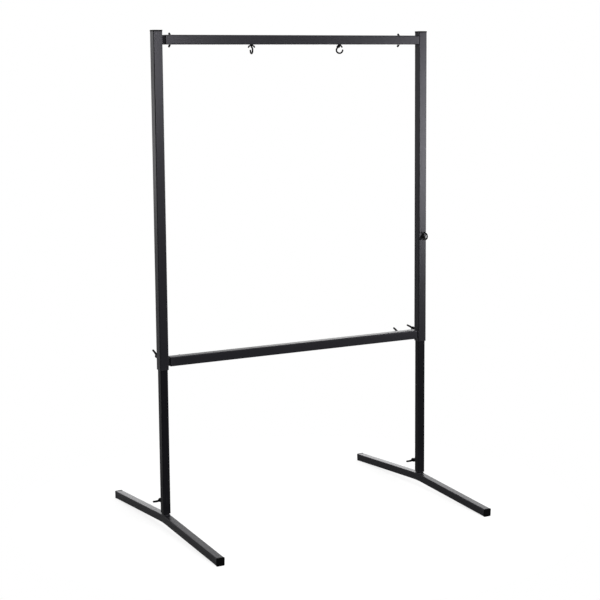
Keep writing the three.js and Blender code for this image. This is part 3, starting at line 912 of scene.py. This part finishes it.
class STAND_OT_bars(Operator):
    """Builds the top bar and the low bar"""

    bl_idname = "stand.bars"
    bl_label = "Bars"

    def execute(self, context):
        corner = context.scene.stand_shape.frame_corner
        for body in ("top_bar", "low_bar"):
            node = f"{body}_tube"
            holes = [(f"{body}_{side}_boss", BACK) for side in SIDES]
            if body == "top_bar":
                holes += [(f"{side}_hook_insert", -UP) for side in SIDES]
            piece = straight_tube(body, node, corner, holes, lying=True)
            finish_piece(piece, body, "Frame coat", node)
        return {"FINISHED"}


class STAND_OT_stubs(Operator):
    """Builds the four stubs that the bars slide on, each with its weld bead"""

    bl_idname = "stand.stubs"
    bl_label = "Stubs"

    def execute(self, context):
        shape = context.scene.stand_shape
        corner = shape.leg_corner
        rng = random.Random(11)
        for side, inward in (("left", RIGHT), ("right", -RIGHT)):
            for level in ("top", "low"):
                node = f"{side}_{level}_stub"
                low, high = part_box(node)
                piece = straight_tube(f"{node}_piece", node, corner, lying=True)
                # Stubs take the darker copy of the leg coat, which paints the shade in the bar-end gaps
                finish_piece(piece, f"{side}_upright", "Stub coat with painted shade", node)
                foot = middle(node)
                foot.x = low.x if side == "left" else high.x
                square_weld(f"{node}_weld", f"{side}_upright", high.z - low.z, corner, foot,
                            (BACK, UP, inward), shape.stub_weld, rng)
        return {"FINISHED"}


def foot_line(side):
    """A foot's section, the half length of its centre line, and a function that follows that line.

    The function takes a length behind the middle and gives the line's y, its z and its slope there.
    """
    shape = bpy.context.scene.stand_shape
    drop, bend = shape.foot_drop, shape.foot_bend
    low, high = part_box(f"{side}_foot_tube")
    size = high.x - low.x
    crown = high.z - size / 2
    end = high.y - size / 2 * math.sin(drop)
    half = (end - bend * math.sin(drop)) / math.cos(drop) + bend * drop

    def follow(length):
        way = math.copysign(1, length)
        straight = max(0, abs(length) - bend * drop)
        turn = (abs(length) - straight) / bend
        y = bend * math.sin(turn) + straight * math.cos(drop)
        z = crown - bend * (1 - math.cos(turn)) - straight * math.sin(drop)
        return way * y, z, -way * turn

    return size, half, follow


class STAND_OT_feet(Operator):
    """Builds the two bent feet with their spigots and welds"""

    bl_idname = "stand.feet"
    bl_label = "Feet"

    def execute(self, context):
        shape = context.scene.stand_shape
        rng = random.Random(23)
        for side in SIDES:
            self.foot(shape, side)
            self.spigot(shape, side, rng)
        return {"FINISHED"}

    def foot(self, shape, side):
        """Tube bent down to both ends from its middle."""
        node = f"{side}_foot_tube"
        x = middle(node).x
        size, half, follow = foot_line(side)

        def place(along, u, v):
            y, z, slope = follow(along - half)
            return Vector((x - u, y - v * math.sin(slope), z + v * math.cos(slope)))

        arc = shape.foot_bend * shape.foot_drop
        marks = [half + arc * i / BEND_STEPS for i in range(-BEND_STEPS, BEND_STEPS + 1)]
        piece = tube(f"{side}_foot", size, shape.leg_corner, 2 * half, place, marks=marks)
        finish_piece(piece, f"{side}_foot", "Frame coat", node)

    def spigot(self, shape, side, rng):
        """Tube that the leg slides over, with the bead that welds it to the foot."""
        node = f"{side}_foot_spigot"
        low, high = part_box(node)
        corner = shape.spigot_corner
        piece = straight_tube(f"{side}_spigot", node, corner)
        finish_piece(piece, f"{side}_foot", "Spigot coat", node)
        foot = Vector((middle(node).x, 0, low.z))
        square_weld(f"{side}_spigot_weld", f"{side}_foot", high.x - low.x, corner, foot,
                    (RIGHT, BACK, UP), shape.spigot_weld, rng)


# Caps and plugs


def plug_rings(size, corner, flange, rounding, skirt, depth):
    """Rings of a plug from its crowned face down to the end of its skirt, as (height, size, corner)."""
    crown, fall, under = 0.2 * MM, 0.15 * MM, 0.3 * MM
    face_steps, rim_steps = 4, 5
    face_start, face_growth, corner_start = 0.25, 0.55, 0.4
    skirt_corner, end_corner, lead, taper = 1.2 * MM, 1 * MM, 1 * MM, 0.4 * MM
    rings = []
    for i in range(face_steps):
        share = i / face_steps
        rings.append((flange - fall * share, size * (face_start + face_growth * share),
                      corner * (corner_start + corner_start * share)))
    for a in quarter(rim_steps):
        inset = rounding * (1 - math.sin(a))
        rings.append((flange - crown - rounding * (1 - math.cos(a)), size - 2 * inset, corner - inset))
    return rings + [
        (under, size, corner),
        (0.0, size - 2 * under, corner - under),
        (0.0, skirt, skirt_corner),
        (-depth + lead, skirt, skirt_corner),
        (-depth, skirt - 2 * taper, end_corner),
    ]


def plug(name, size, corner, flange, skirt, depth, matrix, floor=None):
    """Moulded plug with a crowned face, a round rim and a skirt. A floor, if there is one, flattens it."""
    shape = bpy.context.scene.stand_shape
    bm = bmesh.new()
    rings = []
    for height, across, radius in plug_rings(size, corner, flange, shape.plug_round, skirt, depth):
        outline = rounded_square(across, max(radius, PLUG_CORNER), shape.corner_steps)
        points = [matrix @ Vector((u, v, height)) for u, v in outline]
        if floor is not None:
            points = [Vector((p.x, p.y, max(p.z, floor))) for p in points]
        rings.append(ring_of(bm, points))
    loft(bm, rings, filled=True)
    obj = solid(name, bm)
    weigh_normals(obj)
    return obj


class STAND_OT_plugs(Operator):
    """Builds the caps of the uprights and the plugs that the feet stand on"""

    bl_idname = "stand.plugs"
    bl_label = "Caps and plugs"

    def execute(self, context):
        shape = context.scene.stand_shape
        for side in SIDES:
            self.cap(shape, side)
            for end, way in (("front", -1), ("back", 1)):
                self.sole(shape, side, end, way)
        return {"FINISHED"}

    def cap(self, shape, side):
        """Cap in an upright's top end."""
        tube_low, tube_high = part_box(f"{side}_upright_tube")
        node = f"{side}_upright_cap"
        low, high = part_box(node)
        size, section = high.x - low.x, tube_high.x - tube_low.x
        bore = section - 2 * shape.tube_wall
        matrix = Matrix.Translation((middle(node).x, middle(node).y, tube_high.z))
        piece = plug(f"{side}_cap", size, shape.frame_corner + (size - section) / 2, high.z - tube_high.z,
                     bore - 2 * PLUG_PLAY, tube_high.z - low.z, matrix)
        finish_piece(piece, f"{side}_upright", "Black plastic", node)

    def sole(self, shape, side, end, way):
        """Plug in a foot's end, with a flat sole on the floor."""
        node = f"{side}_foot_{end}_plug"
        low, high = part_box(node)
        size, drop = high.x - low.x, shape.foot_drop
        section, half, follow = foot_line(side)
        bore = section - 2 * shape.tube_wall
        y, z, _ = follow(way * half)
        reach = max(abs(low.y), abs(high.y))
        flange = (reach - abs(y) - size / 2 * math.sin(drop) * SOLE_FACE) / math.cos(drop)
        turn = Matrix.Rotation(-way * (math.pi / 2 + drop), 4, "X")
        matrix = Matrix.Translation((middle(node).x, y, z)) @ turn
        piece = plug(f"{side}_{end}_sole", size, shape.leg_corner + (size - section) / 2, flange,
                     bore - 2 * PLUG_PLAY, SOLE_SKIRT, matrix, floor=0.0)
        finish_piece(piece, f"{side}_foot", "Black plastic", node)


# Clamps


def screw_mesh(shape):
    """Wing screw: a threaded rod under a cast head with two wings. Zero is its tube's outer face."""
    foot, top = 22 * MM, 34 * MM
    base, waist, hub, shoulder, lip, cup = 5.6 * MM, 6.6 * MM, 6.7 * MM, 4.9 * MM, 2.4 * MM, 1.8 * MM
    flare, slope, crown, dish = 1.8 * MM, 1.6 * MM, 0.1 * MM, 0.6 * MM
    bm = bmesh.new()
    lathe(bm, eased([
        (0, foot), (base, foot), (waist, foot + flare), (hub, top - slope),
        (shoulder, top + crown), (lip, top + crown), (cup, top - dish), (0, top - dish),
    ], radius=1 * MM), facets=32)
    for turn in (1, -1):
        wing(bm, reach=23.2 * MM, top=top + 8.1 * MM, root=(foot + 2 * MM, top - 2 * MM),
             thick=(3.9 * MM, 3 * MM), tip_radius=3.5 * MM, turn=turn)
    head = cast("wing_head", bm, smoothing=4)
    bm = bmesh.new()
    threaded_rod(bm, 4 * MM, shape.screw_depth, shape.screw_pitch,
                 low=TIP_GAP - shape.tube_wall - TUBE_PLAY, high=foot + 0.6 * MM, chamfer=1 * MM)
    return pattern("wing_screw", bm, head)


def boss_mesh(shape, rng):
    """Threaded boss with the bead that welds it to its tube."""
    bore, outer, land = 4.15 * MM, 7 * MM, 6 * MM
    height, slope, countersink = 6 * MM, 1.5 * MM, 0.5 * MM
    bm = bmesh.new()
    lathe(bm, eased([
        (bore, 0), (outer, 0), (outer, height - slope), (land, height),
        (bore + countersink, height), (bore, height - countersink), (bore, 0),
    ], radius=0.35 * MM)[:-1], facets=48)
    outwards = circle(1, 0, facets=150)
    bead(bm, [outward * outer for outward in outwards], outwards, UP, shape.boss_weld, rng)
    return pattern("clamp_boss", bm)


class STAND_OT_clamps(Operator):
    """Builds the eight welded bosses and their wing screws"""

    bl_idname = "stand.clamps"
    bl_label = "Clamps"

    def execute(self, context):
        shape = context.scene.stand_shape
        boss, screw = boss_mesh(shape, random.Random(5)), screw_mesh(shape)
        for boss_node, screw_node, carrier, clamp, turn in CLAMPS:
            centre = middle(boss_node)
            seat = facing_back((centre.x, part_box(boss_node)[0].y, centre.z))
            coat = "Leg coat" if carrier.endswith("leg") else "Frame coat"
            piece = place_copy(f"{boss_node}_piece", boss, seat)
            finish_piece(piece, carrier, coat, boss_node)
            piece = place_copy(f"{screw_node}_piece", screw, seat @ turned(turn))
            finish_piece(piece, clamp, "Black hardware", screw_node)
        for mesh in (boss, screw):
            bpy.data.meshes.remove(mesh)
        return {"FINISHED"}


# Hooks


def hook_mesh(shape):
    """Open ring hook on a threaded shank, below its seat."""
    wire, ring, drop = 2.6 * MM, 10.2 * MM, 17.9 * MM
    ring_start, ring_end, ring_steps = 118, 358, 44
    neck, neck_pull, ring_pull, neck_steps = 1.6 * MM, 2.3 * MM, 2.6 * MM, 8
    shank_end, thread_end, thread_top, thread_play = 5 * MM, 6.4 * MM, 13 * MM, 0.05 * MM

    def round_axis(degrees):
        a = math.radians(degrees)
        return Vector((math.cos(a), 0, math.sin(a)))

    def on_ring(degrees):
        return round_axis(degrees) * ring - UP * drop

    start, meet = UP * (ring + neck - drop), on_ring(ring_start)
    below_start, before_meet = start - UP * neck_pull, meet - round_axis(ring_start + 90) * ring_pull
    path = [UP * -shank_end]
    for i in range(neck_steps + 1):
        path.append(cubic_curve(start, below_start, before_meet, meet, i / neck_steps))
    for i in range(1, ring_steps + 1):
        path.append(on_ring(ring_start + (ring_end - ring_start) * i / ring_steps))
    bm = bmesh.new()
    wire_along(bm, path, wire)
    threaded_rod(bm, wire - thread_play, shape.hook_depth, shape.hook_pitch,
                 low=-thread_end, high=thread_top, chamfer=0.3 * MM, facets=24, rows=6)
    return pattern("ring_hook", bm)


def nut_mesh():
    """Cast wing nut on the hook's shank, with its wings towards the ring."""
    seat, height, bore = RIVET_FLANGE, 4 * MM, 2.95 * MM
    base, waist, flare, shoulder = 5.5 * MM, 5.4 * MM, 1 * MM, 4.7 * MM
    top = seat + height
    bm = bmesh.new()
    lathe(bm, eased([
        (bore, seat), (base, seat), (waist, seat + flare), (shoulder, top), (bore, top),
    ], radius=0.4 * MM), facets=32)
    for turn in (1, -1):
        wing(bm, reach=15 * MM, top=top + 5.8 * MM, root=(seat + 0.4 * MM, top), thick=(2.1 * MM, 1.7 * MM),
             tip_radius=2.6 * MM, low_bend=0.9, start=0.24, turn=turn)
    bmesh.ops.rotate(bm, verts=bm.verts, cent=(0, 0, 0), matrix=Matrix.Rotation(math.pi, 3, "X"))
    return pattern("wing_nut", bmesh.new(), cast("wing_nut", bm, smoothing=3))


def insert_mesh():
    """Rivet nut: its flange outside the wall, its bulge and sleeve inside."""
    bore, sleeve, bulge, flange = 2.7 * MM, 4.4 * MM, 5.6 * MM, 6 * MM
    bulge_start, bulge_end, end = 2 * MM, 5 * MM, 11 * MM
    bm = bmesh.new()
    lathe(bm, eased([
        (bore, -RIVET_FLANGE), (flange, -RIVET_FLANGE), (flange, 0), (sleeve, 0), (sleeve, bulge_start),
        (bulge, bulge_start), (bulge, bulge_end), (sleeve, bulge_end), (sleeve, end), (bore, end),
        (bore, -RIVET_FLANGE),
    ], radius=0.3 * MM)[:-1], facets=40)
    return pattern("rivet_nut", bm)


class STAND_OT_hooks(Operator):
    """Builds the three hooks with their inserts and wing nuts"""

    bl_idname = "stand.hooks"
    bl_label = "Hooks"

    def execute(self, context):
        insert, nut, hook = insert_mesh(), nut_mesh(), hook_mesh(context.scene.stand_shape)
        for name, carrier, hook_body, nut_body, hook_turn, nut_turn in HOOKS:
            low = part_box(f"{name}_insert")[0]
            centre = middle(f"{name}_insert")
            if carrier == "top_bar":
                seat = Matrix.Translation((centre.x, centre.y, low.z + RIVET_FLANGE))
            else:
                seat = facing_back((centre.x, low.y + RIVET_FLANGE, centre.z))
            pieces = (
                (f"{name}_insert", insert, carrier, 0),
                (name, hook, hook_body, hook_turn),
                (f"{name}_nut", nut, nut_body, nut_turn),
            )
            for node, mesh, body, turn in pieces:
                piece = place_copy(f"{node}_piece", mesh, seat @ turned(turn))
                finish_piece(piece, body, "Black hardware", node)
        for mesh in (insert, nut, hook):
            bpy.data.meshes.remove(mesh)
        return {"FINISHED"}


# Studio


def seen_rays(tree):
    """Masks of the rays that see the background: the camera's and glass's, the glossy ones, and both."""
    path = add_node(tree, "ShaderNodeLightPath").outputs
    camera = maths(tree, "MAXIMUM", path["Is Camera Ray"], path["Is Transmission Ray"])
    glossy = maths(tree, "MULTIPLY", path["Is Glossy Ray"], maths(tree, "SUBTRACT", 1.0, camera))
    return camera, glossy, maths(tree, "ADD", camera, glossy)


class STAND_OT_studio(Operator):
    """Builds the pale floor, the soft light and the camera"""

    bl_idname = "stand.studio"
    bl_label = "Studio"

    def execute(self, context):
        studio = context.scene.stand_studio
        self.floor(studio)
        self.room(context.scene, studio)
        for lamp in LAMPS:
            self.lamp(*lamp)
        self.camera(context.scene, studio)
        context.scene.view_settings.view_transform = "Standard"
        return {"FINISHED"}

    def floor(self, studio):
        """Pale disc that is clear from below and lifted to white where the camera sees it."""
        bm = bmesh.new()
        reaches = [studio.floor_radius * share for share in (FLOOR_CENTRE, 1.0)]
        rings = [ring_of(bm, circle(reach, -FLOOR_GAP, FLOOR_FACETS)) for reach in reaches]
        bm.faces.new(rings[0])
        loft(bm, rings)
        floor = solid("floor", bm)
        if floor.data.polygons[0].normal.z < 0:
            floor.data.flip_normals()
        made = bpy.data.materials.new("Pale floor")
        made.use_nodes = True
        tree = made.node_tree
        tree.nodes.clear()
        camera, _, _ = seen_rays(tree)
        matt = add_node(tree, "ShaderNodeBsdfDiffuse", {"Color": rgba(studio.floor_colour)})
        strength = maths(tree, "MULTIPLY", camera, studio.floor_lift)
        lift = add_node(tree, "ShaderNodeEmission", {"Strength": strength})
        both = add_node(tree, "ShaderNodeAddShader", {0: matt.outputs[0], 1: lift.outputs[0]})
        below = add_node(tree, "ShaderNodeNewGeometry").outputs["Backfacing"]
        clear = add_node(tree, "ShaderNodeBsdfTransparent")
        cover = add_node(tree, "ShaderNodeMixShader", {0: below, 1: both.outputs[0], 2: clear.outputs[0]})
        add_node(tree, "ShaderNodeOutputMaterial", {"Surface": cover.outputs[0]})
        floor.data.materials.append(made)

    def room(self, scene, studio):
        """White behind the stand, even light on it, and for its gloss a room that is bright on one side."""
        world = bpy.data.worlds.new("Studio room")
        world.use_nodes = True
        tree = world.node_tree
        tree.nodes.clear()
        camera, glossy, either = seen_rays(tree)
        heading = add_node(tree, "ShaderNodeTexCoord").outputs["Generated"]
        facing = {0: heading, 1: BRIGHT_SIDE}
        side = add_node(tree, "ShaderNodeVectorMath", facing, operation="DOT_PRODUCT").outputs["Value"]
        backdrop = spread(tree, side, low=0.3, high=0.95, to_low=0.12)
        gloss = maths(tree, "MULTIPLY", glossy, backdrop)
        plain = maths(tree, "MULTIPLY", maths(tree, "SUBTRACT", 1.0, either), studio.room_level)
        level = maths(tree, "ADD", maths(tree, "ADD", camera, gloss), plain)
        light = add_node(tree, "ShaderNodeBackground", {"Color": rgba((1, 1, 1)), "Strength": level})
        add_node(tree, "ShaderNodeOutputWorld", {"Surface": light.outputs[0]})
        scene.world = world

    def lamp(self, name, place, aim, width, height, watts):
        """Soft panel that lights the stand and that the camera doesn't see."""
        data = bpy.data.lights.new(name, "AREA")
        data.shape = "RECTANGLE"
        data.size, data.size_y, data.energy = width, height, watts
        lamp = add_object(name, data)
        lamp.location = place
        lamp.rotation_euler = (Vector(aim) - Vector(place)).to_track_quat("-Z", "Y").to_euler()
        lamp.visible_camera = False

    def camera(self, scene, studio):
        """Camera at the photo's place and angle."""
        data = bpy.data.cameras.new("Camera")
        data.sensor_width = 36.0
        data.lens = studio.lens
        data.shift_y = studio.camera_rise
        data.clip_end = 50.0
        turn, tilt, roll = studio.camera_turn, studio.camera_tilt, studio.camera_roll
        view = Vector((math.sin(turn) * math.cos(tilt), math.cos(turn) * math.cos(tilt), -math.sin(tilt)))
        right = Vector((math.cos(turn), -math.sin(turn), 0))
        up = right.cross(view)
        level = right * math.cos(roll) + up * math.sin(roll)
        upright = up * math.cos(roll) - right * math.sin(roll)
        matrix = Matrix((level, upright, -view)).transposed().to_4x4()
        matrix.translation = Vector(studio.camera_place)
        camera = add_object("Camera", data)
        camera.matrix_world = matrix
        scene.camera = camera


class STAND_PT_panel(Panel):
    """Lists the stand's steps and settings"""

    bl_idname = "STAND_PT_panel"
    bl_label = "Gong Stand"
    bl_space_type = "VIEW_3D"
    bl_region_type = "UI"
    bl_category = "Gong Stand"

    def draw(self, context):
        layout = self.layout
        for step in STEPS:
            layout.operator(step.bl_idname)
        for settings in (context.scene.stand_shape, context.scene.stand_finish, context.scene.stand_studio):
            box = layout.box()
            for key in settings.bl_rna.properties.keys():
                if key not in ("rna_type", "name"):
                    box.prop(settings, key)


STEPS = (
    STAND_OT_finishes,
    STAND_OT_feet,
    STAND_OT_legs,
    STAND_OT_uprights,
    STAND_OT_stubs,
    STAND_OT_bars,
    STAND_OT_clamps,
    STAND_OT_hooks,
    STAND_OT_plugs,
    STAND_OT_studio,
)
SETTINGS = (("stand_shape", StandShape), ("stand_finish", StandFinish), ("stand_studio", StandStudio))


def register():
    for name, settings in SETTINGS:
        bpy.utils.register_class(settings)
        setattr(bpy.types.Scene, name, PointerProperty(type=settings))
    for step in STEPS:
        bpy.utils.register_class(step)
    bpy.utils.register_class(STAND_PT_panel)


def unregister():
    bpy.utils.unregister_class(STAND_PT_panel)
    for step in reversed(STEPS):
        bpy.utils.unregister_class(step)
    for name, settings in reversed(SETTINGS):
        delattr(bpy.types.Scene, name)
        bpy.utils.unregister_class(settings)


def main():
    register()
    for step in STEPS:
        group, action = step.bl_idname.split(".")
        getattr(getattr(bpy.ops, group), action)()


if __name__ == "__main__":
    main()
